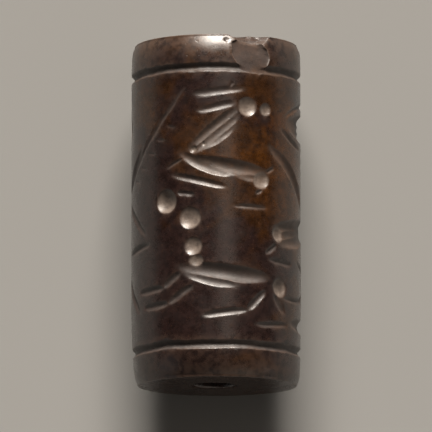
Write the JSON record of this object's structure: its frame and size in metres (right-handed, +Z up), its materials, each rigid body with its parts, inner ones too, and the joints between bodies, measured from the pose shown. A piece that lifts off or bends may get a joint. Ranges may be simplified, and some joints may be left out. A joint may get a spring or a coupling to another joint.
{
  "type": "cylinder seal",
  "caption": "Pierced stone cylinder carved all round with drilled and wheel-cut animals and a star, rolled on clay to leave a continuous frieze.",
  "frame": {"origin": "Under the middle of the seal, on the surface it lies on.", "axes": "+Y along the seal's axis towards its upper end, +X across to the right of the carved front, +Z up, out through the front line of the carving."},
  "size_m": [0.0148, 0.03, 0.0147],
  "materials": {
    "seal_stone": "fine-grained dark red-brown stone, polished, with mottled patches, worn edges and duller cuts"
  },
  "bodies": {
    "root": {"seal_stone": "seal_stone"}
  },
  "joints": []
}
